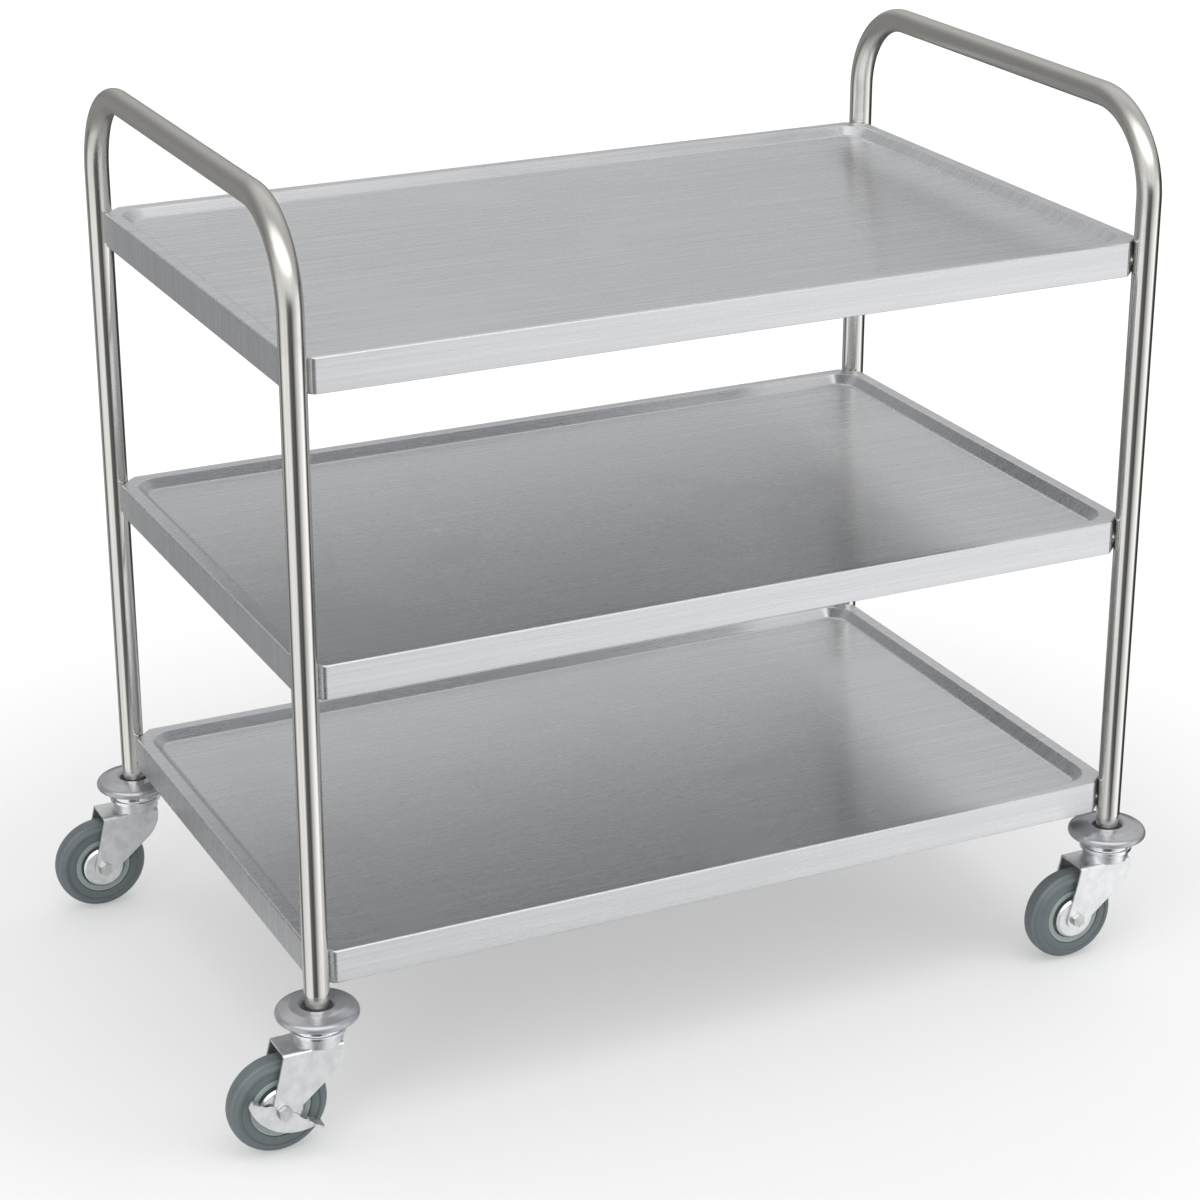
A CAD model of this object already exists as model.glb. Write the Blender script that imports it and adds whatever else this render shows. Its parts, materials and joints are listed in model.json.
"""Three-tier food service trolley on four swivel castors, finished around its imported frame.

X runs along the trolley, Y across it and Z up. Pieces are shaped in millimetres about a
handy point, such as a castor's swivel axis, and moved to their place in metres when done.
"""

import json
import logging
import math
from collections.abc import Callable, Iterable, Sequence
from dataclasses import dataclass
from enum import Enum
from functools import cache

import bmesh
import bpy
from mathutils import Matrix, Vector


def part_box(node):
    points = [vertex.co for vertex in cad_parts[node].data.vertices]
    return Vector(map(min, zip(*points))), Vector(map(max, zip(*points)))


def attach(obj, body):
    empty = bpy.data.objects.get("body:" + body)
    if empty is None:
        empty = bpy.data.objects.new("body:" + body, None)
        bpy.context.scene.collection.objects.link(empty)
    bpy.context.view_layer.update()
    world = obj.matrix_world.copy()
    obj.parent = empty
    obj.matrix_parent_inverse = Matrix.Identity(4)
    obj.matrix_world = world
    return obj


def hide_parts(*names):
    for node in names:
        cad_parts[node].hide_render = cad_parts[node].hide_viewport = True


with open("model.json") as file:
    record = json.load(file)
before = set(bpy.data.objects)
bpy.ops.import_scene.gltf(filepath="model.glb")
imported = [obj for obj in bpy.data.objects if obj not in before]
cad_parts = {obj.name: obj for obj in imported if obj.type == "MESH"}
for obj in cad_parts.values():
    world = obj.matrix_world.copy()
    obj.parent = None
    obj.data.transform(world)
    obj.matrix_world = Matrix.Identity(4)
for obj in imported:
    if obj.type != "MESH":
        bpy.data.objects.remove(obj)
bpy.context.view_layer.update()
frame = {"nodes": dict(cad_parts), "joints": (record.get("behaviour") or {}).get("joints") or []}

log = logging.getLogger("trolley")

MM = 0.001
TURN_STEPS = 72  # flats round a turned piece
ARC_STEPS = 6  # flats round an outline's rounded corner
CREASE = math.radians(33)  # edges sharper than this stay crisp
MILD = (0.3, 0.7)  # part of a noise's range that gives a mild contrast
STRONG = (0.35, 0.65)  # and a strong one

Colour = tuple[float, float, float, float]


# ---------- shaping ----------


class Plane(Enum):
    """Plane that an outline is drawn in."""

    UPRIGHT = "xz"
    FLAT = "xy"

    def place(self, u: float, v: float, off: float) -> Vector:
        """Returns the point at (u, v) on this plane, off by a distance along its normal."""
        return Vector((u, off, v)) if self is Plane.UPRIGHT else Vector((u, v, off))


@dataclass(frozen=True)
class Corner:
    """Corner of an outline, rounded to a radius unless that is nil."""

    u: float
    v: float
    radius: float = 0.0


@dataclass(frozen=True)
class Arc:
    """Round stretch of an outline about (u, v), between two angles in degrees."""

    u: float
    v: float
    radius: float
    start: float
    end: float
    steps: int = 12

    def corners(self) -> list[Corner]:
        """Returns the points along the arc."""
        span = self.end - self.start
        turns = [math.radians(self.start + span * k / self.steps) for k in range(self.steps + 1)]
        return [Corner(self.u + self.radius * math.cos(a), self.v + self.radius * math.sin(a)) for a in turns]


def round_over(
    bm: bmesh.types.BMesh,
    geom: Sequence,
    width: float,
    segments: int,
    affect: str = "EDGES",
    clamp: bool = False,
) -> None:
    """Bevels edges or corners, round where there is more than one segment.

    Args:
        bm: Mesh to work on.
        geom: The edges or corners.
        width: Width of the bevel.
        segments: Flats across it.
        affect: EDGES or VERTICES.
        clamp: Whether the width is held back where neighbours would meet.
    """
    bmesh.ops.bevel(
        bm,
        geom=geom,
        offset=width,
        segments=segments,
        affect=affect,
        profile=0.5,
        material=-1,
        clamp_overlap=clamp,
    )


def verts_of(edges: Iterable[bmesh.types.BMEdge]) -> list[bmesh.types.BMVert]:
    """Returns the points at the ends of some edges, each once."""
    return list({v for e in edges for v in e.verts})


def verts_in(made: Iterable) -> list[bmesh.types.BMVert]:
    """Returns the points among what an operator made."""
    return [g for g in made if isinstance(g, bmesh.types.BMVert)]


def draw_on(bm: bmesh.types.BMesh, edges: list[bmesh.types.BMEdge], way: Vector) -> list[bmesh.types.BMEdge]:
    """Draws a wire on by a way, with faces behind it, and returns the edges where it ends."""
    made = bmesh.ops.extrude_edge_only(bm, edges=edges)["geom"]
    bmesh.ops.translate(bm, vec=way, verts=verts_in(made))
    return [g for g in made if isinstance(g, bmesh.types.BMEdge)]


def bend_on(
    bm: bmesh.types.BMesh,
    edges: list[bmesh.types.BMEdge],
    centre: tuple[float, float, float],
    axis: tuple[float, float, float],
    angle: float,
    steps: int,
) -> list[bmesh.types.BMEdge]:
    """Draws a wire on round an axis, with faces behind it.

    Args:
        bm: Mesh to work on.
        edges: The wire.
        centre: Point on the axis.
        axis: Its direction.
        angle: Angle to turn by.
        steps: Flats round the bend.

    Returns:
        The edges where the wire ends.
    """
    geom = verts_of(edges) + edges
    made = bmesh.ops.spin(bm, geom=geom, cent=centre, axis=axis, dvec=(0, 0, 0), angle=angle, steps=steps)
    last = set(verts_in(made["geom_last"]))
    return [e for e in bm.edges if last.issuperset(e.verts) and len(e.link_faces) == 1]


def draw_outline(
    bm: bmesh.types.BMesh,
    parts: Iterable[Corner | Arc],
    plane: Plane = Plane.UPRIGHT,
    off: float = 0.0,
    closed: bool = True,
) -> list[bmesh.types.BMEdge]:
    """Draws an outline as wire and rounds its corners.

    Args:
        bm: Mesh to draw in.
        parts: Corners and arcs in order.
        plane: Plane the outline lies in.
        off: Distance of that plane from the origin.
        closed: Whether the last point joins the first.

    Returns:
        The outline's edges.
    """
    older = set(bm.edges)
    corners = [c for part in parts for c in (part.corners() if isinstance(part, Arc) else [part])]
    verts = [bm.verts.new(plane.place(c.u, c.v, off)) for c in corners]
    count = len(verts)
    for k in range(count if closed else count - 1):
        bm.edges.new((verts[k], verts[(k + 1) % count]))
    spots = [v.co.copy() for v in verts]
    for k, corner in enumerate(corners):
        if corner.radius > 0:
            turn = (spots[k] - spots[k - 1]).angle(spots[(k + 1) % count] - spots[k])
            round_over(bm, [verts[k]], corner.radius * math.tan(turn / 2), ARC_STEPS, "VERTICES")
    return [e for e in bm.edges if e not in older]


def turn_outline(bm: bmesh.types.BMesh, parts: Iterable[Corner | Arc], closed: bool = True) -> None:
    """Turns an outline of (radius, height) about Z into a closed body."""
    older_faces = set(bm.faces)
    edges = draw_outline(bm, parts, closed=closed)
    bmesh.ops.spin(
        bm,
        geom=verts_of(edges) + edges,
        cent=(0, 0, 0),
        axis=(0, 0, 1),
        dvec=(0, 0, 0),
        angle=math.tau,
        steps=TURN_STEPS,
        use_merge=True,
    )
    bmesh.ops.remove_doubles(bm, verts=bm.verts[:], dist=1e-4)
    bmesh.ops.recalc_face_normals(bm, faces=[f for f in bm.faces if f not in older_faces])


def soften_edges(
    bm: bmesh.types.BMesh,
    width: float,
    chosen: Callable[[bmesh.types.BMEdge], bool] | None = None,
    segments: int = 2,
) -> None:
    """Rounds the sharp edges of a mesh, or only those that chosen picks.

    Args:
        bm: Mesh to work on.
        width: Width of the rounding.
        chosen: Test that an edge passes to be rounded.
        segments: Flats across the rounding.
    """
    sharp = [e for e in bm.edges if len(e.link_faces) == 2 and e.calc_face_angle(0) > CREASE]
    round_over(bm, [e for e in sharp if chosen is None or chosen(e)], width, segments, clamp=True)


def add_hexagon(bm: bmesh.types.BMesh, radius: float, low: float, high: float, chamfer: float) -> None:
    """Adds a hexagon head about Z, with the corners of its upper face turned off.

    Args:
        bm: Mesh to add it to.
        radius: Corner radius.
        low: Height of its lower face.
        high: Height of its upper face.
        chamfer: How far the corners are turned off.
    """
    place = Matrix.Translation((0, 0, (low + high) / 2))
    made = bmesh.ops.create_cone(
        bm, cap_ends=True, segments=6, radius1=radius, radius2=radius, depth=high - low, matrix=place
    )
    edges = {e for v in made["verts"] for e in v.link_edges}
    round_over(bm, list(edges), chamfer, 2)


def both_sides(side: Sequence[Corner]) -> list[Corner]:
    """Returns one side of a wheel's section and the other side, which mirrors it."""
    return [*side, *(Corner(c.u, -c.v, c.radius) for c in reversed(side))]


# ---------- placing ----------


@dataclass(frozen=True)
class Layout:
    """Main sizes of the trolley in millimetres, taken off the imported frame."""

    mid_x: float
    post_x: float
    post_y: float
    tube_r: float
    post_end_z: float
    top_z: float
    shelf_x: float
    shelf_y: float
    apron_h: float

    @classmethod
    def from_frame(cls) -> "Layout":
        """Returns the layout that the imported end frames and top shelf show."""
        left_low, left_high = (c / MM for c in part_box("left_end_frame"))
        right_low, right_high = (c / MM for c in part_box("right_end_frame"))
        shelf_low, shelf_high = (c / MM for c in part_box("top_shelf"))
        tube_r = (left_high.x - left_low.x) / 2
        return cls(
            mid_x=(left_low.x + right_high.x) / 2,
            post_x=(right_low.x - left_high.x) / 2 + tube_r,
            post_y=left_high.y - tube_r,
            tube_r=tube_r,
            post_end_z=left_low.z,
            top_z=left_high.z,
            shelf_x=(shelf_high.x - shelf_low.x) / 2,
            shelf_y=(shelf_high.y - shelf_low.y) / 2,
            apron_h=shelf_high.z - shelf_low.z,
        )


def joint_place(name: str) -> Vector:
    """Returns where a joint sits in the row frame, in millimetres."""
    joint = next(j for j in frame["joints"] if j["name"] == name)
    return Vector(joint["pos_m"]) / MM


def finish_piece(
    bm: bmesh.types.BMesh,
    name: str,
    place: Matrix,
    finish: "Finish",
    body: str,
    nodes: Sequence[str] = (),
) -> bpy.types.Object:
    """Turns a shaped mesh into a finished piece on its body.

    Args:
        bm: The shape, in millimetres.
        name: Name of the piece.
        place: Matrix that moves the shape to its place, still in millimetres.
        finish: The finish it gets.
        body: Body it moves with.
        nodes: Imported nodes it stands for.

    Returns:
        The finished object.
    """
    bench = bm.verts.layers.float_vector.new("bench")
    for vert in bm.verts:
        vert[bench] = vert.co
    bmesh.ops.transform(bm, matrix=Matrix.Scale(MM, 4) @ place, verts=bm.verts[:])
    mesh = bpy.data.meshes.new(name)
    bm.to_mesh(mesh)
    bm.free()
    mesh.shade_smooth()
    mesh.set_sharp_from_angle(angle=CREASE)
    mesh.materials.append(finish.material())
    piece = bpy.data.objects.new(name, mesh)
    bpy.context.scene.collection.objects.link(piece)
    normals = piece.modifiers.new("Weighted normals", "WEIGHTED_NORMAL")
    normals.keep_sharp = True
    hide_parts(*nodes)
    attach(piece, body)
    log.info("%s: %d faces on %s", name, len(mesh.polygons), body)
    return piece


def dress_node(node: str, finish: "Finish") -> None:
    """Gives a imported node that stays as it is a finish."""
    for slot in frame["nodes"][node].material_slots:
        slot.material = finish.material()
    log.info("%s: packed shape, %s", node, finish.name)


# ---------- shader building ----------


class Wiring:
    """Adds nodes to one shader tree and joins them up."""

    def __init__(self, tree: bpy.types.NodeTree) -> None:
        """Starts on a tree."""
        self.tree = tree

    def feed(self, node: bpy.types.Node, sockets: dict) -> None:
        """Sets inputs of a node.

        Args:
            node: The node.
            sockets: Input name or number to a value, or to the output that feeds it.
        """
        for key, value in sockets.items():
            if isinstance(value, bpy.types.NodeSocket):
                self.tree.links.new(value, node.inputs[key])
            else:
                node.inputs[key].default_value = value

    def add(self, kind: str, sockets: dict | None = None, **settings: object) -> bpy.types.Node:
        """Adds a node.

        Args:
            kind: Node type without its ShaderNode prefix.
            sockets: Input name or number to a value, or to the output that feeds it.
            settings: Properties of the node itself.

        Returns:
            The new node.
        """
        node = self.tree.nodes.new("ShaderNode" + kind)
        for key, value in settings.items():
            setattr(node, key, value)
        self.feed(node, sockets or {})
        return node

    def group(self, tree: bpy.types.NodeTree, sockets: dict) -> bpy.types.Node:
        """Adds one of the shared groups with a finish's own values."""
        return self.add("Group", sockets, node_tree=tree)

    def sum(self, kind: str, first: object, second: object = 0.0) -> bpy.types.NodeSocket:
        """Returns the output of a Math node of that kind."""
        return self.add("Math", {0: first, 1: second}, operation=kind).outputs[0]

    def noise(
        self, vector: object, scale: float, detail: float = 3.0, rough: float = 0.55
    ) -> bpy.types.NodeSocket:
        """Returns a noise value about 0.5 at a scale in cycles per unit of its vector."""
        sockets = {"Vector": vector, "Scale": scale, "Detail": detail, "Roughness": rough}
        return self.add("TexNoise", sockets).outputs["Fac"]

    def spread(
        self, value: object, low: object, high: float, to_low: float = 0.0, to_high: float = 1.0
    ) -> bpy.types.NodeSocket:
        """Returns a value mapped from one range to another and held inside it."""
        sockets = {"Value": value, "From Min": low, "From Max": high, "To Min": to_low, "To Max": to_high}
        return self.add("MapRange", sockets, clamp=True).outputs["Result"]

    def mix(self, factor: object, first: object, second: object) -> bpy.types.NodeSocket:
        """Returns the value between two values that a factor picks."""
        return self.add("Mix", {0: factor, 2: first, 3: second}).outputs[0]

    def blend(self, factor: object, first: object, second: object) -> bpy.types.NodeSocket:
        """Returns the colour between two colours that a factor picks."""
        return self.add("Mix", {0: factor, 6: first, 7: second}, data_type="RGBA").outputs[2]


def open_group(name: str, inputs: dict[str, str], outputs: Sequence[str]) -> tuple[Wiring, dict, dict]:
    """Starts a shader node group.

    Args:
        name: Name of the group.
        inputs: Input name to its kind, Float or Vector.
        outputs: Names of its value outputs.

    Returns:
        The wiring, the sockets that bring inputs in, and the sockets that take outputs out.
    """
    tree = bpy.data.node_groups.new(name, "ShaderNodeTree")
    for key, kind in inputs.items():
        tree.interface.new_socket(key, in_out="INPUT", socket_type="NodeSocket" + kind)
    for key in outputs:
        tree.interface.new_socket(key, in_out="OUTPUT", socket_type="NodeSocketFloat")
    entry = tree.nodes.new("NodeGroupInput")
    leave = tree.nodes.new("NodeGroupOutput")
    return Wiring(tree), dict(entry.outputs.items()), dict(leave.inputs.items())


@cache
def brush_grain() -> bpy.types.NodeTree:
    """Returns the group of long streaks that brushing leaves, fine and broad."""
    w, given, result = open_group(
        "Brush grain", {"Vector": "Vector", "Along": "Float", "Across": "Float"}, ("Fine", "Broad")
    )
    stretch = w.add("CombineXYZ", {0: given["Along"], 1: given["Across"], 2: given["Across"]}).outputs[0]
    streaks = w.add("VectorMath", {0: given["Vector"], 1: stretch}, operation="MULTIPLY").outputs[0]
    w.tree.links.new(w.noise(streaks, 1.0, detail=4.0, rough=0.6), result["Fine"])
    w.tree.links.new(w.noise(streaks, 0.13), result["Broad"])
    return w.tree


@cache
def handling_marks() -> bpy.types.NodeTree:
    """Returns the group of soft smudges that hands and cloths leave."""
    w, given, result = open_group(
        "Handling marks", {"Vector": "Vector", "Size": "Float", "Spread": "Float"}, ("Mask",)
    )
    cloud = {"Scale": given["Size"], "Detail": 5.0, "Roughness": 0.6, "Distortion": 0.8}
    near = w.add("TexNoise", {"Vector": given["Vector"], **cloud}).outputs["Fac"]
    w.tree.links.new(w.spread(near, w.sum("SUBTRACT", 0.72, given["Spread"]), 0.78), result["Mask"])
    return w.tree


@cache
def hairlines() -> bpy.types.NodeTree:
    """Returns the group of thin stray scratches at a few angles."""
    w, given, result = open_group("Hairlines", {"Vector": "Vector", "Density": "Float"}, ("Mask",))
    total: object = 0.0
    for angle, stretch in ((0.12, 0.05), (-0.5, 0.09), (1.1, 0.07)):
        turned = w.add("VectorRotate", {"Vector": given["Vector"], "Angle": angle}, rotation_type="Z_AXIS")
        long = w.add("VectorMath", {0: turned.outputs[0], 1: (stretch, 1.0, 1.0)}, operation="MULTIPLY")
        scaled = w.add("VectorMath", {0: long.outputs[0], "Scale": given["Density"]}, operation="SCALE")
        line = w.sum("ABSOLUTE", w.sum("SUBTRACT", w.noise(scaled.outputs[0], 1.0, detail=0.0), 0.5))
        thin = w.spread(line, 0.0, 0.004, 1.0, 0.0)
        patch = w.spread(w.noise(turned.outputs[0], 9.0, detail=1.0), 0.56, 0.66)
        total = w.sum("MAXIMUM", w.sum("MULTIPLY", thin, patch), total)
    w.tree.links.new(total, result["Mask"])
    return w.tree


@cache
def turning_marks() -> bpy.types.NodeTree:
    """Returns the group of fine rings left by turning or by a mould, and the radius they sit at."""
    w, given, result = open_group(
        "Turning marks", {"Vector": "Vector", "Pitch": "Float"}, ("Rings", "Radius")
    )
    split = w.add("SeparateXYZ", {0: given["Vector"]})
    flat = w.add("CombineXYZ", {0: split.outputs[0], 1: split.outputs[1]})
    radius = w.add("VectorMath", {0: flat.outputs[0]}, operation="LENGTH").outputs["Value"]
    section = w.add("CombineXYZ", {0: radius, 1: split.outputs[2]})
    scaled = w.add("VectorMath", {0: section.outputs[0], "Scale": given["Pitch"]}, operation="SCALE")
    w.tree.links.new(w.noise(scaled.outputs[0], 1.0), result["Rings"])
    w.tree.links.new(radius, result["Radius"])
    return w.tree


@dataclass(frozen=True)
class Finish:
    """Base of the finishes: a name, two tones that its colour moves between, and its gloss."""

    name: str
    dark: Colour
    light: Colour
    roughness: float

    def material(self) -> bpy.types.Material:
        """Returns the finish as a material, made the first time it is asked for."""
        title = f"{self.name}_finish"
        known = bpy.data.materials.get(title)
        if known is not None:
            return known
        made = bpy.data.materials.new(title)
        made.use_nodes = True
        self.wire(Wiring(made.node_tree), made.node_tree.nodes["Principled BSDF"])
        return made

    def wire(self, w: Wiring, shader: bpy.types.Node) -> None:
        """Joins the finish's pattern to the shader."""
        raise NotImplementedError

    def tones(self, w: Wiring, pattern: object, contrast: tuple[float, float]) -> bpy.types.NodeSocket:
        """Returns the colour that a pattern picks between the two tones."""
        return w.blend(w.spread(pattern, *contrast), self.dark, self.light)

    def relief(self, w: Wiring, shader: bpy.types.Node, height: object, depth: float) -> None:
        """Feeds a height, at most depth metres deep, to the shader as bump."""
        bump = w.add("Bump", {"Height": height, "Distance": depth, "Strength": 1.0})
        w.tree.links.new(bump.outputs["Normal"], shader.inputs["Normal"])


@dataclass(frozen=True)
class BrushedSheet(Finish):
    """Stainless sheet with its grain along the trolley, carried over the folds by its UV map."""

    anisotropy: float = 0.96
    unevenness: float = 0.03
    fine_share: float = 0.55
    sway: float = 0.0035

    def wire(self, w: Wiring, shader: bpy.types.Node) -> None:
        """Joins streaks, smudges, hairlines and a slight waviness to the shader."""
        unrolled = w.add("UVMap", uv_map="grain").outputs["UV"]
        place = w.add("TexCoord").outputs["Object"]
        grain = w.group(brush_grain(), {"Vector": unrolled, "Along": 7.0, "Across": 1500.0}).outputs
        smudge = w.group(handling_marks(), {"Vector": place, "Size": 5.0, "Spread": 0.22}).outputs["Mask"]
        scratch = w.group(hairlines(), {"Vector": place, "Density": 60.0}).outputs["Mask"]
        fine = w.sum("MULTIPLY", grain["Fine"], self.fine_share)
        streaks = w.sum("ADD", fine, w.sum("MULTIPLY", grain["Broad"], 1 - self.fine_share))
        low, high = self.roughness - self.unevenness, self.roughness + self.unevenness
        rough = w.sum("ADD", w.spread(streaks, *MILD, low, high), w.sum("MULTIPLY", smudge, 0.05))
        w.feed(
            shader,
            {
                "Base Color": w.blend(
                    w.sum("MULTIPLY", smudge, 0.10), self.tones(w, streaks, STRONG), self.dark
                ),
                "Metallic": 1.0,
                "Roughness": w.sum("SUBTRACT", rough, w.sum("MULTIPLY", scratch, 0.08)),
                "Anisotropic": self.anisotropy,
                "Anisotropic Rotation": 0.25,
                "Tangent": w.add("Tangent", direction_type="UV_MAP", uv_map="grain").outputs[0],
            },
        )
        waves = w.sum("ADD", w.noise(place, 2.4, detail=1.0), w.sum("MULTIPLY", streaks, 0.0018))
        self.relief(w, shader, w.sum("ADD", waves, w.sum("MULTIPLY", scratch, -0.006)), self.sway)


@dataclass(frozen=True)
class DrawnTube(Finish):
    """Stainless tube, satin on the handle bar and polished down the posts."""

    satin: float = 0.36
    satin_tone: Colour = (0.52, 0.51, 0.48, 1.0)
    satin_end: float = 0.25
    polish_start: float = 0.38
    ripple: float = 0.000008

    def wire(self, w: Wiring, shader: bpy.types.Node) -> None:
        """Joins streaks that follow the tube, and its two degrees of polish, to the shader."""
        along = w.add("Attribute", attribute_name="along_tube").outputs["Vector"]
        place = w.add("TexCoord").outputs["Object"]
        grain = w.group(brush_grain(), {"Vector": along, "Along": 5.0, "Across": 900.0}).outputs
        smudge = w.group(handling_marks(), {"Vector": place, "Size": 22.0, "Spread": 0.2}).outputs["Mask"]
        scratch = w.group(hairlines(), {"Vector": along, "Density": 90.0}).outputs["Mask"]
        reach = w.sum("ABSOLUTE", w.add("SeparateXYZ", {0: along}).outputs[0])
        uneven = w.sum("ADD", reach, w.spread(w.noise(place, 30.0), *MILD, -0.03, 0.03))
        tone = w.blend(w.sum("MULTIPLY", smudge, 0.12), self.tones(w, grain["Fine"], MILD), self.dark)
        dulled = w.spread(uneven, self.satin_end, self.polish_start, 0.8, 0.0)
        rough = w.sum(
            "ADD",
            w.spread(uneven, self.satin_end, self.polish_start, self.satin, self.roughness),
            w.spread(grain["Broad"], *MILD, -0.02, 0.03),
        )
        rough = w.sum("ADD", rough, w.sum("MULTIPLY", smudge, 0.06))
        w.feed(
            shader,
            {
                "Base Color": w.blend(dulled, tone, self.satin_tone),
                "Metallic": 1.0,
                "Roughness": w.sum("ADD", rough, w.sum("MULTIPLY", scratch, 0.1)),
            },
        )
        self.relief(w, shader, w.sum("ADD", grain["Fine"], w.sum("MULTIPLY", scratch, -0.8)), self.ripple)


@dataclass(frozen=True)
class PlatedSteel(Finish):
    """Bright plating with a faint cloudiness, and rings where the piece was turned."""

    rings: float = 0.3
    cloud: float = 60.0
    unevenness: float = 0.05
    ripple: float = 0.00003

    def wire(self, w: Wiring, shader: bpy.types.Node) -> None:
        """Joins clouding, rings and smudges to the shader."""
        place = w.add("TexCoord").outputs["Object"]
        bench = w.add("Attribute", attribute_name="bench").outputs["Vector"]
        marks = w.group(turning_marks(), {"Vector": bench, "Pitch": 5.0}).outputs["Rings"]
        smudge = w.group(handling_marks(), {"Vector": place, "Size": 45.0, "Spread": 0.25}).outputs["Mask"]
        cloud = w.noise(place, self.cloud, detail=4.0)
        low, high = self.roughness - self.unevenness, self.roughness + self.unevenness
        rough = w.sum("ADD", w.spread(cloud, *STRONG, low, high), w.sum("MULTIPLY", smudge, 0.08))
        ringed = w.sum("MULTIPLY", w.sum("SUBTRACT", marks, 0.5), self.rings * 0.2)
        w.feed(
            shader,
            {
                "Base Color": w.blend(
                    w.sum("MULTIPLY", smudge, 0.2), self.tones(w, cloud, STRONG), self.dark
                ),
                "Metallic": 1.0,
                "Roughness": w.sum("ADD", rough, ringed),
            },
        )
        height = w.sum("ADD", w.sum("MULTIPLY", marks, self.rings), w.sum("MULTIPLY", cloud, 0.6))
        self.relief(w, shader, height, self.ripple)


@dataclass(frozen=True)
class MouldedPlastic(Finish):
    """Moulded plastic with a fine skin, faint mould rings and scuffs out at its rim."""

    scuff_radius: float = 38.0
    scuff_fade: float = 2.0
    unevenness: float = 0.04
    skin: float = 1400.0
    skin_depth: float = 0.00008
    coat: float = 0.0
    sheen: float = 0.0

    def wire(self, w: Wiring, shader: bpy.types.Node) -> None:
        """Joins the skin, the rings and the scuffs to the shader."""
        place = w.add("TexCoord").outputs["Object"]
        bench = w.add("Attribute", attribute_name="bench").outputs["Vector"]
        marks = w.group(turning_marks(), {"Vector": bench, "Pitch": 0.9}).outputs
        smudge = w.group(handling_marks(), {"Vector": place, "Size": 38.0, "Spread": 0.25}).outputs["Mask"]
        scratch = w.group(hairlines(), {"Vector": bench, "Density": 0.6}).outputs["Mask"]
        inner, outer = self.scuff_radius - self.scuff_fade, self.scuff_radius + self.scuff_fade
        scuffs = w.spread(w.noise(place, 120.0, detail=5.0), 0.5, 0.72)
        worn = w.sum("MULTIPLY", w.spread(marks["Radius"], inner, outer), scuffs)
        tone = w.blend(w.sum("MULTIPLY", smudge, 0.35), self.tones(w, marks["Rings"], MILD), self.dark)
        low, high = self.roughness - self.unevenness, self.roughness + self.unevenness
        handled = w.sum("MULTIPLY", w.sum("MAXIMUM", worn, smudge), 0.14)
        rough = w.sum("ADD", w.spread(marks["Rings"], *MILD, low, high), handled)
        w.feed(
            shader,
            {
                "Base Color": w.blend(w.sum("MULTIPLY", worn, 0.5), tone, self.light),
                "Roughness": w.sum("ADD", rough, w.sum("MULTIPLY", scratch, 0.1)),
                "Metallic": self.sheen,
                "Coat Weight": self.coat,
                "Coat Roughness": 0.2,
            },
        )
        skin = w.sum("MULTIPLY", w.noise(place, self.skin, detail=2.0), 0.35)
        ringed = w.sum("ADD", skin, w.sum("MULTIPLY", marks["Rings"], 0.5))
        self.relief(w, shader, w.sum("ADD", ringed, w.sum("MULTIPLY", scratch, -0.6)), self.skin_depth)


@dataclass(frozen=True)
class Rubber(Finish):
    """Non-marking rubber: matt, dusty and slightly polished on its tread."""

    tread_radius: float = 47.0
    tread_fade: float = 1.5
    skin_depth: float = 0.00012
    dust: Colour = (0.30, 0.31, 0.31, 1.0)

    def wire(self, w: Wiring, shader: bpy.types.Node) -> None:
        """Joins the dust, the worn tread and the moulded skin to the shader."""
        place = w.add("TexCoord").outputs["Object"]
        bench = w.add("Attribute", attribute_name="bench").outputs["Vector"]
        marks = w.group(turning_marks(), {"Vector": bench, "Pitch": 0.7}).outputs
        smudge = w.group(handling_marks(), {"Vector": place, "Size": 55.0, "Spread": 0.3}).outputs["Mask"]
        inner, outer = self.tread_radius - self.tread_fade, self.tread_radius + self.tread_fade
        tread = w.spread(marks["Radius"], inner, outer)
        grit = w.spread(w.noise(place, 420.0, detail=5.0, rough=0.7), 0.45, 0.7)
        tone = w.blend(w.sum("MULTIPLY", smudge, 0.12), self.tones(w, marks["Rings"], MILD), self.dust)
        gritty = w.sum("MULTIPLY", w.sum("MULTIPLY", tread, grit), 0.22)
        rough = w.sum("SUBTRACT", self.roughness, w.sum("MULTIPLY", tread, 0.08))
        w.feed(
            shader,
            {
                "Base Color": w.blend(gritty, tone, self.dust),
                "Roughness": w.sum("ADD", rough, w.sum("MULTIPLY", smudge, 0.1)),
            },
        )
        height = w.sum("ADD", w.sum("MULTIPLY", grit, 0.4), w.sum("MULTIPLY", marks["Rings"], 0.4))
        self.relief(w, shader, height, self.skin_depth)


TRAY_STEEL = BrushedSheet("tray_steel", (0.60, 0.61, 0.625, 1), (0.72, 0.73, 0.75, 1), 0.27)
TUBE_STEEL = DrawnTube("tube_steel", (0.64, 0.63, 0.60, 1), (0.82, 0.81, 0.785, 1), 0.075)
COLLAR_STEEL = PlatedSteel("collar_steel", (0.66, 0.65, 0.62, 1), (0.86, 0.85, 0.82, 1), 0.13, rings=0.9)
RACE_CHROME = PlatedSteel("race_chrome", (0.70, 0.73, 0.76, 1), (0.86, 0.88, 0.90, 1), 0.09, cloud=35.0)
FORK_ZINC = PlatedSteel(
    "fork_zinc", (0.71, 0.73, 0.745, 1), (0.85, 0.86, 0.87, 1), 0.33, rings=0.0, cloud=90.0, ripple=0.00006
)
FIXING_STEEL = PlatedSteel("fixing_steel", (0.48, 0.48, 0.48, 1), (0.68, 0.68, 0.68, 1), 0.3, rings=0.4)
BUMPER_PLASTIC = MouldedPlastic(
    "bumper_plastic", (0.37, 0.375, 0.40, 1), (0.49, 0.495, 0.52, 1), 0.17, coat=0.5, sheen=0.5
)
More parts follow.
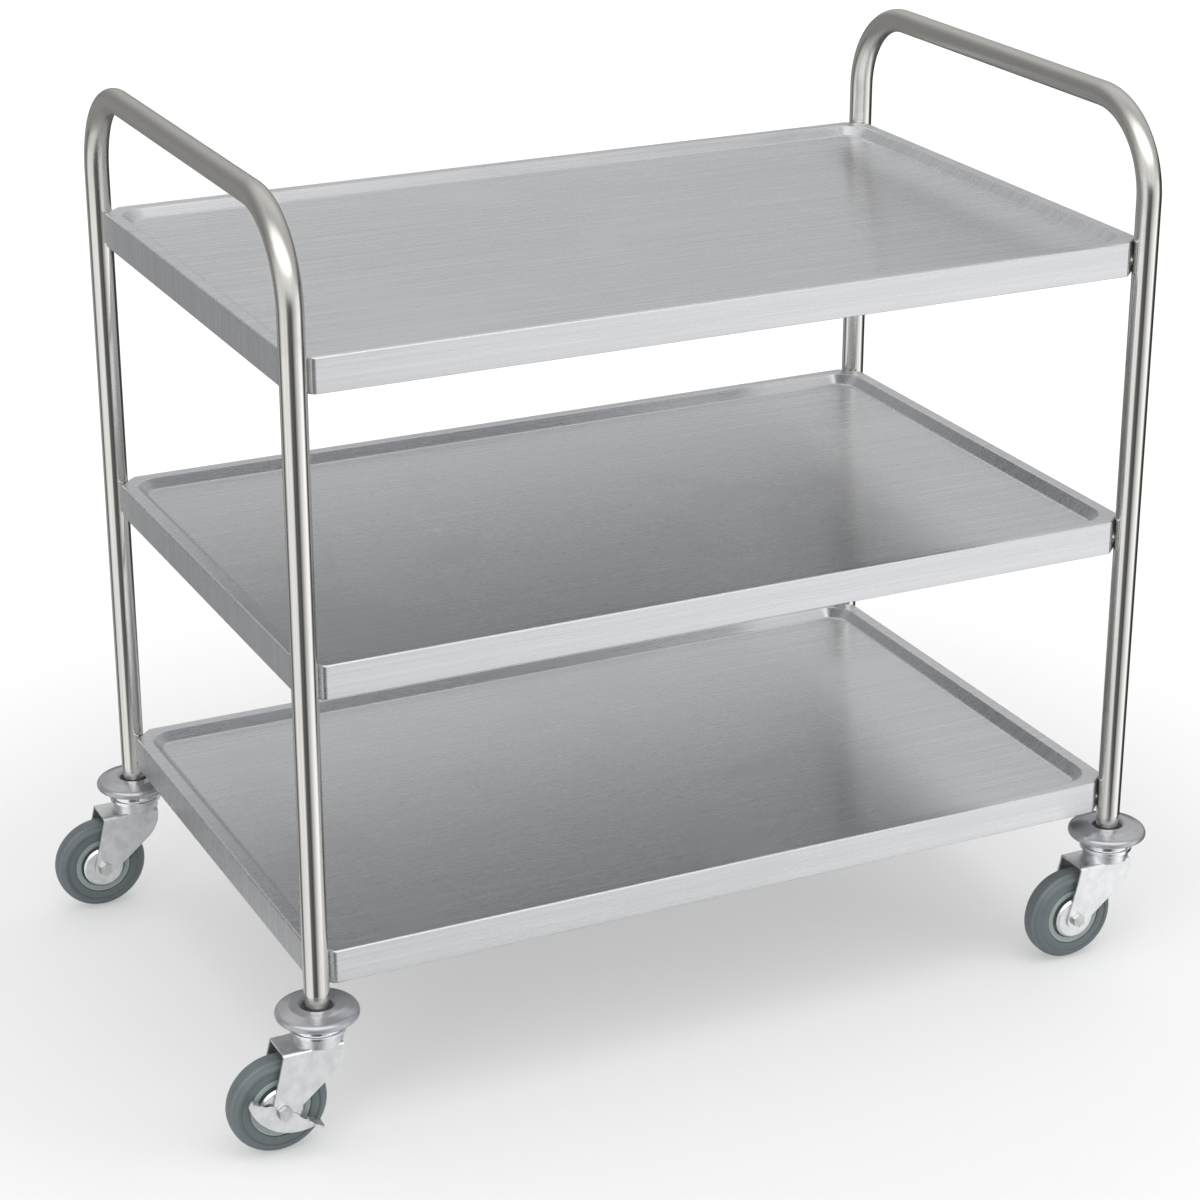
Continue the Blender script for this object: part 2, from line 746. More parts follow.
RIM_PLASTIC = MouldedPlastic(
    "rim_plastic", (0.26, 0.32, 0.31, 1), (0.42, 0.49, 0.47, 1), 0.42, scuff_radius=30.0
)
TYRE_RUBBER = Rubber("tyre_rubber", (0.095, 0.12, 0.13, 1), (0.175, 0.205, 0.215, 1), 0.42)


# ---------- end frames ----------


@dataclass(frozen=True)
class EndFrame:
    """One tube bent to a U upside down: two posts and a handle bar."""

    name: str
    side: int
    layout: Layout
    wall: float = 1.2
    bend_r: float = 90.0
    round_steps: int = 44
    bend_steps: int = 28

    @property
    def bar_z(self) -> float:
        """Height of the handle bar's axis."""
        return self.layout.top_z - self.layout.tube_r

    @property
    def bend_z(self) -> float:
        """Height where the posts end and the bends start."""
        return self.bar_z - self.bend_r

    @property
    def bend_y(self) -> float:
        """Distance from the middle to where the bar ends and a bend starts."""
        return self.layout.post_y - self.bend_r

    def along(self, spot: Vector) -> Vector:
        """Unrolls a point of the tube.

        Args:
            spot: Point in millimetres about the foot of the frame's middle.

        Returns:
            Its way along the tube from the middle of the bar, and its place across the tube, in metres.
        """
        side = -1 if spot.y < 0 else 1
        beyond = abs(spot.y) - self.bend_y
        below = self.bend_z - spot.z
        if beyond <= 0:
            reach, across = abs(spot.y), spot.z - self.bar_z
        elif below >= 0:
            reach = self.bend_y + self.bend_r * math.pi / 2 + below
            across = abs(spot.y) - self.layout.post_y
        else:
            reach = self.bend_y + self.bend_r * math.atan2(beyond, -below)
            across = math.hypot(beyond, below) - self.bend_r
        return Vector((side * reach, spot.x, across)) * MM

    def shape(self) -> bmesh.types.BMesh:
        """Returns the tube's mesh, swept from one post's foot to the other's."""
        bm = bmesh.new()
        foot = Matrix.Translation((0, -self.layout.post_y, self.layout.post_end_z))
        bmesh.ops.create_circle(
            bm, cap_ends=False, radius=self.layout.tube_r, segments=self.round_steps, matrix=foot
        )
        rise = Vector((0, 0, self.bend_z - self.layout.post_end_z))
        ring = draw_on(bm, bm.edges[:], rise)
        ring = self.bend(bm, ring, -self.bend_y)
        ring = draw_on(bm, ring, Vector((0, 2 * self.bend_y, 0)))
        ring = self.bend(bm, ring, self.bend_y)
        draw_on(bm, ring, -rise)
        bmesh.ops.remove_doubles(bm, verts=bm.verts[:], dist=1e-4)
        bmesh.ops.recalc_face_normals(bm, faces=bm.faces[:])
        bmesh.ops.solidify(bm, geom=bm.faces[:], thickness=self.wall)
        foot_z = self.layout.post_end_z
        soften_edges(bm, 0.3, lambda e: all(abs(v.co.z - foot_z) < 0.01 for v in e.verts))
        layer = bm.verts.layers.float_vector.new("along_tube")
        for vert in bm.verts:
            vert[layer] = self.along(vert.co)
        return bm

    def bend(
        self, bm: bmesh.types.BMesh, ring: list[bmesh.types.BMEdge], centre_y: float
    ) -> list[bmesh.types.BMEdge]:
        """Bends the tube a quarter turn towards +Y, then down, and returns the new ring's edges."""
        return bend_on(bm, ring, (0, centre_y, self.bend_z), (1, 0, 0), -math.pi / 2, self.bend_steps)

    def build(self) -> None:
        """Makes the tube and puts it on the frame."""
        place = Matrix.Translation((self.layout.mid_x + self.side * self.layout.post_x, 0, 0))
        finish_piece(self.shape(), f"{self.name}_tube", place, TUBE_STEEL, "frame", [self.name])


# ---------- shelves ----------


@dataclass(frozen=True)
class Shelf:
    """A tray pressed from one sheet, with folded aprons and a hem turned in under them."""

    level: str
    layout: Layout
    sheet: float = 1.0
    fold_r: float = 2.5
    foot_r: float = 1.6
    rim_w: float = 13.0
    depth: float = 10.0
    corner_r: float = 30.0
    corner_steps: int = 14
    cove_top_r: float = 2.2
    cove_foot_r: float = 5.0
    hem_w: float = 12.0
    post_gap: float = 0.6
    slack: float = 0.5

    @property
    def corner_cut(self) -> float:
        """How far the bevelled corners cut back along each side."""
        proud = self.layout.shelf_x - self.layout.post_x
        return 2 * proud + (self.layout.tube_r + self.post_gap) * math.sqrt(2)

    def cove_ring(self, bm: bmesh.types.BMesh) -> None:
        """Sweeps the cove's section round the tray, a quarter turn at each corner."""
        top_u = self.corner_r - self.cove_top_r * math.tan(math.pi / 8)
        run = [
            Corner(self.corner_r + self.slack, 0),
            Corner(top_u, 0, self.cove_top_r),
            Corner(top_u - self.depth, -self.depth, self.cove_foot_r),
            Corner(top_u - self.depth - self.cove_foot_r * math.tan(math.pi / 8) - self.slack, -self.depth),
        ]
        half_x = self.layout.shelf_x - self.rim_w - self.corner_r
        half_y = self.layout.shelf_y - self.rim_w - self.corner_r
        chain = draw_outline(bm, run, closed=False)
        bmesh.ops.translate(bm, vec=(half_x, half_y, 0), verts=verts_of(chain))
        centres = ((half_x, half_y), (-half_x, half_y), (-half_x, -half_y), (half_x, -half_y))
        for k, (x, y) in enumerate(centres):
            chain = bend_on(bm, chain, (x, y, 0), (0, 0, 1), math.pi / 2, self.corner_steps)
            next_x, next_y = centres[(k + 1) % 4]
            chain = draw_on(bm, chain, Vector((next_x - x, next_y - y, 0)))
        bmesh.ops.remove_doubles(bm, verts=bm.verts[:], dist=1e-3)

    def shape(self) -> bmesh.types.BMesh:
        """Returns the shelf's mesh, with its rim at height nil."""
        bm = bmesh.new()
        self.cove_ring(bm)
        open_edges = [e for e in bm.edges if len(e.link_faces) == 1]
        floor_edges = [e for e in open_edges if all(v.co.z < -self.depth / 2 for v in e.verts)]
        lip_edges = [e for e in open_edges if e not in floor_edges]
        bmesh.ops.contextual_create(bm, geom=floor_edges)
        x, y = self.layout.shelf_x, self.layout.shelf_y
        border = draw_outline(bm, [Corner(-x, -y), Corner(x, -y), Corner(x, y), Corner(-x, y)], Plane.FLAT)
        older = set(bm.edges) - set(border)
        round_over(bm, verts_of(border), self.corner_cut, 1, "VERTICES")
        border = [e for e in bm.edges if e not in older]
        bmesh.ops.triangle_fill(bm, use_beauty=True, use_dissolve=False, edges=border + lip_edges)
        self.aprons(bm, border)
        bmesh.ops.remove_doubles(bm, verts=bm.verts[:], dist=1e-3)
        bmesh.ops.recalc_face_normals(bm, faces=bm.faces[:])
        floor = max(bm.faces, key=lambda f: f.calc_area())
        if floor.normal.z < 0:
            bmesh.ops.reverse_faces(bm, faces=bm.faces[:])
        bmesh.ops.solidify(bm, geom=bm.faces[:], thickness=self.sheet)
        self.lay_grain(bm)
        return bm

    def aprons(self, bm: bmesh.types.BMesh, border: list[bmesh.types.BMEdge]) -> None:
        """Folds the aprons down from the border and turns the hem in under them.

        Args:
            bm: The shelf so far.
            border: The eight edges round the rim.
        """
        foot = draw_on(bm, border, Vector((0, 0, -self.layout.apron_h)))
        cap = bmesh.ops.contextual_create(bm, geom=foot)["faces"][0]
        bmesh.ops.inset_region(bm, faces=[cap], thickness=self.hem_w, use_even_offset=True)
        bmesh.ops.delete(bm, geom=[cap], context="FACES_ONLY")
        upright = [e for e in bm.edges if abs(e.verts[0].co.z - e.verts[1].co.z) > self.layout.apron_h / 2]
        fold = [e for e in border if e.is_valid]
        round_over(bm, fold + upright, self.fold_r, 5)
        low = -self.layout.apron_h + 0.01
        edge = [e for e in bm.edges if all(v.co.z < low for v in e.verts) and len(e.link_faces) == 2]
        round_over(bm, [e for e in edge if any(abs(f.normal.z) < 0.5 for f in e.link_faces)], self.foot_r, 3)

    def lay_grain(self, bm: bmesh.types.BMesh) -> None:
        """Writes where each point lay on the flat sheet, so the brushing runs on over the folds."""
        uv = bm.loops.layers.uv.new("grain")
        for face in bm.faces:
            n = face.normal
            for loop in face.loops:
                x, y, z = loop.vert.co
                if abs(n.z) < 0.5 and abs(n.x) > abs(n.y):
                    x = math.copysign(abs(x) - z, x)
                elif abs(n.z) < 0.5:
                    y = math.copysign(abs(y) - z, y)
                loop[uv].uv = (x * MM, y * MM)

    def build(self) -> None:
        """Makes the shelf and puts it on the frame."""
        node = f"{self.level}_shelf"
        rim_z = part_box(node)[1].z / MM
        place = Matrix.Translation((self.layout.mid_x, 0, rim_z))
        finish_piece(self.shape(), f"{self.level}_tray", place, TRAY_STEEL, "frame", [node])
        dress_node(f"{self.level}_backing_plates", FIXING_STEEL)


# ---------- castors ----------


@dataclass(frozen=True)
class Castor:
    """One swivel castor with its bumper disc, fork and wheel, about its swivel axis."""

    corner: str
    braked: bool
    layout: Layout
    fork_w: float = 40.0
    fork_t: float = 2.5
    fork_bend_r: float = 4.0
    fork_top_z: float = 110.0
    leg_back: float = 43.0
    leg_front: float = 19.0
    leg_nose_r: float = 36.0
    leg_end_r: float = 11.5
    kingpin_bore_r: float = 5.1
    plug_h: float = 40.0
    axle_r: float = 4.0
    head_r: float = 7.5
    head_h: float = 5.3
    sleeve_r: float = 6.0
    pad_r: float = 24.0
    pad_top_z: float = 120.0
    cup_r: float = 27.5
    cup_top_z: float = 131.0
    bumper_h: float = 16.0
    collar_trim: float = 0.7
    guard_r: float = 23.0
    tyre_w: float = 28.0
    rocker_t: float = 2.0
    rocker_tilt: float = 29.0

    @property
    def axis(self) -> Vector:
        """Foot of the swivel axis on the floor."""
        spot = joint_place(f"{self.corner}_swivel_turn")
        return Vector((spot.x, spot.y, 0))

    @property
    def axle(self) -> Vector:
        """Middle of the axle, about the foot of the swivel axis."""
        return joint_place(f"{self.corner}_wheel_roll") - self.axis

    @property
    def upright(self) -> Matrix:
        """Place of the pieces turned about the swivel axis."""
        return Matrix.Translation(self.axis)

    @property
    def on_axle(self) -> Matrix:
        """Place of the pieces turned about the axle, with their Z towards the trolley's front."""
        return Matrix.Translation(self.axis + self.axle) @ Matrix.Rotation(math.pi / 2, 4, "X")

    def finish(self, bm: bmesh.types.BMesh, part: str, place: Matrix, finish: Finish, body: str) -> None:
        """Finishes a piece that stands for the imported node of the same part."""
        node = f"{self.corner}_{part}"
        finish_piece(bm, f"{node}_piece", place, finish, body, [node])

    def build_insert(self) -> None:
        """Makes the bright collar and the plug above it, which presses into the tube."""
        bm = bmesh.new()
        r, end_z = self.layout.tube_r - self.collar_trim, self.layout.post_end_z
        bore_r, plug_r, top_z = self.kingpin_bore_r, r - 0.6, end_z + self.plug_h
        turn_outline(
            bm,
            [
                Corner(bore_r, self.cup_top_z),
                Corner(r, self.cup_top_z),
                Corner(r, end_z - 0.1, 0.5),
                Corner(plug_r, end_z - 0.1),
                Corner(plug_r, top_z, 1.2),
                Corner(bore_r, top_z),
            ],
        )
        self.finish(bm, "insert", self.upright, COLLAR_STEEL, "frame")

    def build_bumper(self) -> None:
        """Makes the bumper disc: a low dome with a rounded rim and a well round the collar."""
        bm = bmesh.new()
        low, high = self.cup_top_z, self.cup_top_z + self.bumper_h
        collar_r = self.layout.tube_r - self.collar_trim + 0.1
        left, right = (c.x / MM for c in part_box(f"{self.corner}_bumper"))
        rim_r = (right - left) / 2
        turn_outline(
            bm,
            [
                Corner(collar_r, low),
                Corner(self.cup_r - 1.2, low, 0.4),
                Corner(self.cup_r + 0.2, low + 3.4, 3.5),
                Corner(rim_r - 0.6, low + 3.6, 2.2),
                Corner(rim_r, low + 10.8, 5.6),
                Corner(rim_r * 0.66, high - 1.0, 16.0),
                Corner(collar_r + 6.2, high, 1.6),
                Corner(collar_r + 3.6, high - 2.6, 1.2),
                Corner(collar_r + 2.0, low + 4.5, 0.6),
                Corner(collar_r, low + 4.5),
            ],
        )
        self.finish(bm, "bumper", self.upright, BUMPER_PLASTIC, "frame")

    def build_race_cup(self) -> None:
        """Makes the chromed cup, with a rolled lip round its mouth."""
        bm = bmesh.new()
        low, high, r = self.pad_top_z - 1.5, self.cup_top_z, self.cup_r
        turn_outline(
            bm,
            [
                Corner(self.kingpin_bore_r, high),
                Corner(r - 2.4, high, 0.8),
                Corner(r - 1.6, low + 5.6, 1.6),
                Corner(r, low + 4.2, 0.8),
                Corner(r, low, 1.1),
                Corner(r - 2.2, low, 0.6),
                Corner(r - 2.2, low + 4.5, 0.8),
                Corner(self.kingpin_bore_r, low + 4.5),
            ],
        )
        self.finish(bm, "race_cup", self.upright, RACE_CHROME, "frame")

    def build_fork(self) -> None:
        """Makes the pressed fork: two legs folded down from a top plate, and the race pad on it."""
        bm = bmesh.new()
        bend_z = self.fork_top_z - self.fork_bend_r
        nose = Vector((self.leg_front - self.leg_nose_r, self.fork_top_z - 5))
        foot = Vector((self.axle.x, self.axle.z))
        reach = nose - foot
        lean = math.degrees(
            math.atan2(reach.y, reach.x) - math.acos((self.leg_end_r - self.leg_nose_r) / reach.length)
        )
        edges = draw_outline(
            bm,
            [
                Corner(-self.leg_back, bend_z),
                Corner(self.leg_front, bend_z),
                Arc(nose.x, nose.y, self.leg_nose_r, 0, lean),
                Arc(foot.x, foot.y, self.leg_end_r, lean, -185, 16),
            ],
            off=-self.fork_w / 2,
        )
        bmesh.ops.contextual_create(bm, geom=edges)
        top = [e for e in bm.edges if all(abs(v.co.z - bend_z) < 1e-4 for v in e.verts)]
        bend = (0, self.fork_bend_r - self.fork_w / 2, bend_z)
        ridge = bend_on(bm, top, bend, (1, 0, 0), -math.pi / 2, 6)
        for vert in verts_in(bmesh.ops.extrude_edge_only(bm, edges=ridge)["geom"]):
            vert.co.y = 0
        half = bm.verts[:] + bm.edges[:] + bm.faces[:]
        bmesh.ops.mirror(bm, geom=half, matrix=Matrix.Identity(4), merge_dist=1e-3, axis="Y")
        bmesh.ops.remove_doubles(bm, verts=bm.verts[:], dist=1e-3)
        bmesh.ops.recalc_face_normals(bm, faces=bm.faces[:])
        highest = max(bm.faces, key=lambda f: f.calc_center_median().z)
        if highest.normal.z < 0:
            bmesh.ops.reverse_faces(bm, faces=bm.faces[:])
        bmesh.ops.solidify(bm, geom=bm.faces[:], thickness=self.fork_t)
        soften_edges(bm, 0.45)
        bore_r, hollow_r = self.kingpin_bore_r + 0.3, self.pad_r - self.fork_t
        turn_outline(
            bm,
            [
                Corner(bore_r, self.pad_top_z),
                Corner(self.pad_r, self.pad_top_z, 2.0),
                Corner(self.pad_r, self.fork_top_z - 2.0, 0.8),
                Corner(hollow_r, self.fork_top_z - 2.0, 0.5),
                Corner(hollow_r, self.pad_top_z - self.fork_t, 1.0),
                Corner(bore_r, self.pad_top_z - self.fork_t),
            ],
        )
        self.finish(bm, "fork", self.upright, FORK_ZINC, f"{self.corner}_swivel")

    def build_axle(self) -> None:
        """Makes the axle bolt and its lock nut."""
        outer = self.fork_w / 2
        seat = outer + (self.rocker_t + 0.6 if self.braked else 0)
        bm = bmesh.new()
        tail, head = -outer - 8, seat + self.head_h + 0.4
        r = self.axle_r
        turn_outline(
            bm, [Corner(0, tail), Corner(r, tail, 0.8), Corner(r, head, 0.5), Corner(0, head)], closed=False
        )
        add_hexagon(bm, self.head_r, seat, seat + self.head_h, 0.5)
        self.finish(bm, "axle_bolt", self.on_axle, FIXING_STEEL, f"{self.corner}_swivel")
        bm = bmesh.new()
        add_hexagon(bm, self.head_r, -outer - 5.5, -outer, 0.5)
        turn_outline(
            bm,
            [
                Corner(self.axle_r + 0.1, -outer - 5.6),
                Corner(6.2, -outer - 5.6),
                Corner(5.9, -outer - 7, 0.8),
                Corner(self.axle_r + 0.1, -outer - 7, 0.3),
            ],
        )
        self.finish(bm, "axle_nut", self.on_axle, FIXING_STEEL, f"{self.corner}_swivel")

    def build_guards(self) -> None:
        """Makes the two dished discs that keep threads off the hub."""
        half = self.fork_w / 2 - self.fork_t
        r, t, lip = self.guard_r, 0.8, 2.5
        bm = bmesh.new()
        turn_outline(
            bm,
            [
                Corner(self.sleeve_r + 0.1, half),
                Corner(r - lip, half, 1.6),
                Corner(r, half - lip, 0.3),
                Corner(r - t, half - lip - 0.3, 0.3),
                Corner(r - lip - t / 2, half - t, 1.0),
                Corner(self.sleeve_r + 0.1, half - t),
            ],
        )
        one = bm.verts[:] + bm.edges[:] + bm.faces[:]
        bmesh.ops.mirror(bm, geom=one, matrix=Matrix.Identity(4), merge_dist=1e-5, axis="Z")
        bmesh.ops.recalc_face_normals(bm, faces=bm.faces[:])
        self.finish(bm, "thread_guards", self.on_axle, FORK_ZINC, f"{self.corner}_swivel")

    def build_wheel(self) -> None:
        """Makes the moulded rim and the rubber tyre on it."""
        r, half = self.axle.z, self.tyre_w / 2
        rim_r = r * 0.62
        rim_half, rib = half - 1.5, 5.0
        hub_half = self.fork_w / 2 - self.fork_t - 1.1
        bm = bmesh.new()
        face = [
            Corner(self.sleeve_r + 0.05, hub_half),
            Corner(11, hub_half, 0.8),
            Corner(12.6, 4.2, 2.0),
            Corner(rim_r - 8.6, 3.5, 3.0),
            Corner(rim_r - 6.4, rim_half - 0.6, 1.0),
            Corner(rim_r - 1.2, rim_half, 0.8),
            Corner(rim_r, rim_half - 1.2, 0.3),
            Corner(rim_r, rib),
            Corner(rim_r + rib, rib),
        ]
        turn_outline(bm, both_sides(face))
        self.finish(bm, "wheel_rim", self.on_axle, RIM_PLASTIC, f"{self.corner}_wheel")
        bm = bmesh.new()
        side = [
            Corner(rim_r + rib + 0.05, rib + 0.05),
            Corner(rim_r + 0.05, rib + 0.05),
            Corner(rim_r + 0.05, half - 1.4, 0.7),
            Corner(rim_r + 3.2, half - 0.9, 1.5),
            Corner(rim_r + 7.4, half - 1.3, 1.2),
            Corner(rim_r + 8.8, half - 1.5, 0.5),
            Corner(rim_r + 9.4, half - 0.2, 0.5),
            Corner(r - 6.4, half, 5.5),
            Corner(r - 0.5, half - 7.6, 4.0),
            Corner(r, 2.0, 12.0),
        ]
        turn_outline(bm, both_sides(side))
        self.finish(bm, "tyre", self.on_axle, TYRE_RUBBER, f"{self.corner}_wheel")

    def build_brake(self) -> None:
        """Makes the boat-shaped brake rocker with a foot tab bent out at each end."""
        front, back, drop, boss_r = 42.0, 38.0, 21.0, 9.0
        keel_r = (front * front + drop * drop) / (2 * drop)
        keel_v = keel_r - drop
        back_turn = math.degrees(math.atan2(-math.sqrt(keel_r**2 - back**2), -back))
        front_turn = math.degrees(math.atan2(-math.sqrt(keel_r**2 - front**2), front))
        scallop_u, scallop_v, scallop_r = boss_r + 15, 15.0, 16.0
        dip = math.degrees(math.asin((scallop_v - 2) / scallop_r))
        crown = math.degrees(math.asin(2 / boss_r))
        low = self.fork_w / 2 + 0.3
        bm = bmesh.new()
        edges = draw_outline(
            bm,
            [
                Arc(0, keel_v, keel_r, back_turn, front_turn, 28),
                Corner(front, 2),
                Arc(scallop_u, scallop_v, scallop_r, -dip, dip - 180, 10),
                Arc(0, 0, boss_r, crown, 180 - crown, 16),
                Arc(-scallop_u, scallop_v, scallop_r, -dip, dip - 180, 10),
                Corner(-back, 2),
            ],
            Plane.FLAT,
            low,
        )
        face = bmesh.ops.contextual_create(bm, geom=edges)["faces"][0]
        raised = bmesh.ops.extrude_face_region(bm, geom=[face])["geom"]
        bmesh.ops.translate(bm, vec=(0, 0, self.rocker_t), verts=verts_in(raised))
        bmesh.ops.remove_doubles(bm, verts=bm.verts[:], dist=1e-3)
        for start, width, out in ((front - 17.0, 16.0, 15.0), (2.0 - back, 8.0, 9.0)):
            tab = bmesh.ops.create_cube(
                bm,
                size=1.0,
                matrix=Matrix.Translation((start + width / 2, 1.0, low + out / 2))
                @ Matrix.Diagonal((width, self.rocker_t, out, 1.0)),
            )
            around = {e for v in tab["verts"] for e in v.link_edges}
            cross = [e for e in around if abs(e.verts[0].co.y - e.verts[1].co.y) > 0.5]
            round_over(bm, [e for e in cross if e.verts[0].co.z > low + 1], width * 0.3, 5)
        bmesh.ops.recalc_face_normals(bm, faces=bm.faces[:])
        soften_edges(bm, 0.35)
        place = self.on_axle @ Matrix.Rotation(math.radians(-self.rocker_tilt), 4, "Z")
        self.finish(bm, "brake_rocker", place, FORK_ZINC, f"{self.corner}_brake")

    def build(self) -> None:
        """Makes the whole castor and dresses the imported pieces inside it."""
        self.build_insert()
        self.build_bumper()
        self.build_race_cup()
        self.build_fork()
        self.build_axle()
        self.build_guards()
        self.build_wheel()
        if self.braked:
            self.build_brake()
        for part in ("kingpin", "swivel_balls", "axle_sleeve"):
            dress_node(f"{self.corner}_{part}", FIXING_STEEL)


# ---------- studio ----------


@dataclass(frozen=True)
class Softbox:
    """A soft area light aimed at the middle of the trolley."""

    name: str
    spot: tuple[float, float, float]
    width: float
    height: float
    power: float

    def build(self, aim: Vector) -> None:
        """Hangs the light and turns it towards aim."""
        light = bpy.data.lights.new(self.name, "AREA")
        light.shape = "RECTANGLE"
        light.size, light.size_y = self.width, self.height
        light.energy = self.power
        lamp = bpy.data.objects.new(self.name, light)
        lamp.location = self.spot
        lamp.visible_glossy = False
        lamp.rotation_euler = (aim - Vector(self.spot)).to_track_quat("-Z", "Y").to_euler()
        bpy.context.scene.collection.objects.link(lamp)


@dataclass(frozen=True)
class Studio:
    """Pale floor, soft light and the camera."""

    aim: tuple[float, float, float] = (-0.020, -0.010, 0.386)
    distance: float = 3.30
    yaw: float = 25.63
    pitch: float = 22.07
    lens: float = 94.1
    floor_size: float = 1.7
    floor_mirrored: tuple[float, float] = (0.4, 0.75)
    floor_fade: tuple[float, float] = (0.7, 1.5)
    floor_veil: float = 0.3
    backdrop: float = 1.12
    room: float = 0.82
    back_wall: float = 0.64
    side_wall: float = 0.30
    rear_ceiling: float = 1.0
    front_ceiling: float = 0.5
    front_wall: float = 0.95
    front_light: float = 2.4
    screens: tuple[tuple[float, float], ...] = (
        (-180, 0.12),
        (180, 0.12),
        (-150, 0.22),
        (-129, 0.48),
        (-104, 0.06),
        (-92, 0.55),
        (-80, 0.98),
        (-30, 1.00),
        (-17, 0.16),
        (14, 0.08),
        (26, 0.45),
        (52, 1.00),
        (84, 1.40),
        (98, 0.20),
        (115, 0.03),
    )
    softboxes: tuple[Softbox, ...] = (
        Softbox("overhead", (0.2, -0.6, 3.0), 2.4, 2.0, 20.0),
        Softbox("left strip", (-2.4, -1.8, 1.5), 0.8, 2.0, 8.0),
        Softbox("right strip", (2.4, -2.4, 1.5), 0.8, 2.0, 8.0),
    )

    def build_camera(self, layout: Layout) -> None:
        """Sets the camera at its angle, aimed a little left of the frame's middle."""
        yaw, pitch = math.radians(self.yaw), math.radians(self.pitch)
        sight = Vector((math.sin(yaw) * math.cos(pitch), math.cos(yaw) * math.cos(pitch), -math.sin(pitch)))
        camera = bpy.data.cameras.new("camera")
        camera.lens = self.lens
        camera.clip_end = 60
        view = bpy.data.objects.new("camera", camera)
        view.location = Vector(self.aim) + Vector((layout.mid_x * MM, 0, 0)) - sight * self.distance
        view.rotation_euler = (math.pi / 2 - pitch, 0, -yaw)
        bpy.context.scene.collection.objects.link(view)
        bpy.context.scene.camera = view

    def build_floor(self) -> None:
        """Lays the pale floor, which fades into the backdrop and which shiny metal mirrors close by only."""
        bm = bmesh.new()
        bmesh.ops.create_grid(bm, x_segments=1, y_segments=1, size=self.floor_size)
        mesh = bpy.data.meshes.new("floor")
        bm.to_mesh(mesh)
        bm.free()
        paint = bpy.data.materials.new("floor_paint")
        paint.use_nodes = True
        shader = paint.node_tree.nodes["Principled BSDF"]
        shader.inputs["Base Color"].default_value = (0.9, 0.9, 0.9, 1)
        shader.inputs["Roughness"].default_value = 0.9
        shader.inputs["Specular IOR Level"].default_value = 0.1
        w = Wiring(paint.node_tree)
        place = w.add("TexCoord").outputs["Object"]
        away = w.add("VectorMath", {0: place}, operation="LENGTH").outputs["Value"]
        path = w.add("LightPath").outputs
        mirrored = w.spread(away, *self.floor_mirrored)
        seen = w.spread(away, *self.floor_fade, self.floor_veil, 1.0)
        below = w.add("NewGeometry").outputs["Backfacing"]
        skipped = w.sum(
            "ADD",
            w.sum("MULTIPLY", path["Is Glossy Ray"], mirrored),
            w.sum("MULTIPLY", path["Is Camera Ray"], w.sum("MAXIMUM", seen, below)),
        )
        clear = w.add("BsdfTransparent").outputs[0]
        mixed = w.add("MixShader", {0: skipped, 1: shader.outputs[0], 2: clear}).outputs[0]
        w.tree.links.new(mixed, paint.node_tree.nodes["Material Output"].inputs["Surface"])
        mesh.materials.append(paint)
        floor = bpy.data.objects.new("floor", mesh)
        bpy.context.scene.collection.objects.link(floor)

    def build_world(self) -> None:
        """Lights the room evenly, and gives shiny metal its bright screens and dark gaps to mirror."""
        world = bpy.data.worlds.new("studio")
        world.use_nodes = True
        world.cycles.sampling_method = "NONE"
        bpy.context.scene.world = world
        w = Wiring(world.node_tree)
        yaw = math.radians(self.yaw)
        way = w.add("TexCoord").outputs["Generated"]
        ahead = w.add("VectorMath", {0: way, 1: (-math.sin(yaw), -math.cos(yaw), 0)}, operation="DOT_PRODUCT")
        right = w.add("VectorMath", {0: way, 1: (math.cos(yaw), -math.sin(yaw), 0)}, operation="DOT_PRODUCT")
        turn = w.sum("ARCTAN2", right.outputs["Value"], ahead.outputs["Value"])
        screens = w.add("ValToRGB", {0: w.spread(turn, -math.pi, math.pi)})
        stops = screens.color_ramp.elements
        for k, (angle, level) in enumerate(self.screens):
            spot = (angle + 180) / 360
            stop = stops[k] if k < 2 else stops.new(spot)
            stop.position, stop.color = spot, (level, level, level, 1)
        height = w.add("SeparateXYZ", {0: way}).outputs[2]
        wall = w.spread(right.outputs["Value"], -0.62, -0.25, self.side_wall, self.back_wall)
        overhead = w.spread(ahead.outputs["Value"], -0.5, 0.1, self.rear_ceiling, self.front_ceiling)
        above = w.mix(w.spread(height, 0.5, 0.8), wall, overhead)
        mirrored = w.mix(w.spread(height, 0.0, 0.28), screens.outputs[0], above)
        front = w.sum("MULTIPLY", w.spread(ahead.outputs["Value"], 0.2, 0.45), w.spread(height, 0.0, 0.15))
        strength = w.spread(height, 0.42, 0.52, self.front_wall, self.front_light)
        mirrored = w.mix(front, mirrored, strength)
        path = w.add("LightPath").outputs
        level = w.mix(path["Is Camera Ray"], w.mix(path["Is Glossy Ray"], self.room, mirrored), self.backdrop)
        background = world.node_tree.nodes["Background"]
        background.inputs["Color"].default_value = (1, 1, 1, 1)
        w.tree.links.new(level, background.inputs["Strength"])

    def build(self, layout: Layout) -> None:
        """Sets up floor, light and camera."""
        self.build_floor()
        self.build_world()
        for box in self.softboxes:
            box.build(Vector((0, 0, 0.5)))
        self.build_camera(layout)
        bpy.context.scene.view_settings.view_transform = "Standard"


def main() -> None:
    """Builds the trolley piece by piece, then the studio round it."""
    logging.basicConfig(level=logging.INFO, format="%(name)s: %(message)s")
    layout = Layout.from_frame()
    for name, side in (("left_end_frame", -1), ("right_end_frame", 1)):
        EndFrame(name, side, layout).build()
    for level in ("bottom", "middle", "top"):
        Shelf(level, layout).build()
    for node in ("rivet_nuts", "shelf_screws"):
        dress_node(node, FIXING_STEEL)
    for corner in ("front_left", "front_right", "rear_left", "rear_right"):
        braked = f"{corner}_brake_rocker" in frame["nodes"]
        Castor(corner, braked, layout).build()
    Studio().build(layout)


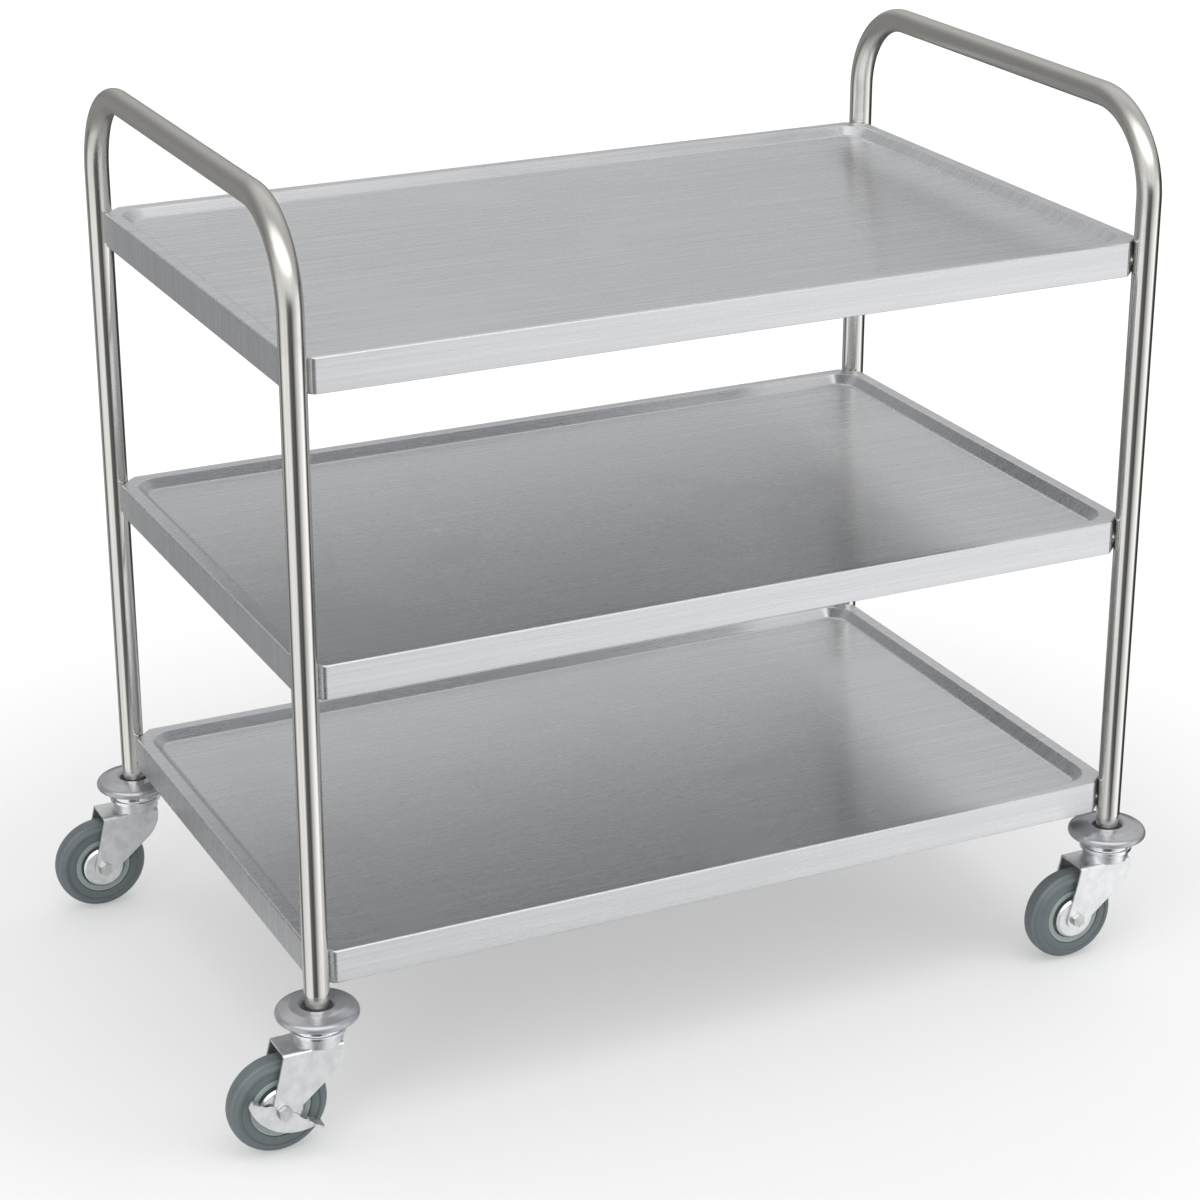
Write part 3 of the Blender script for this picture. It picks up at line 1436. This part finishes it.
if __name__ == "__main__":
    main()
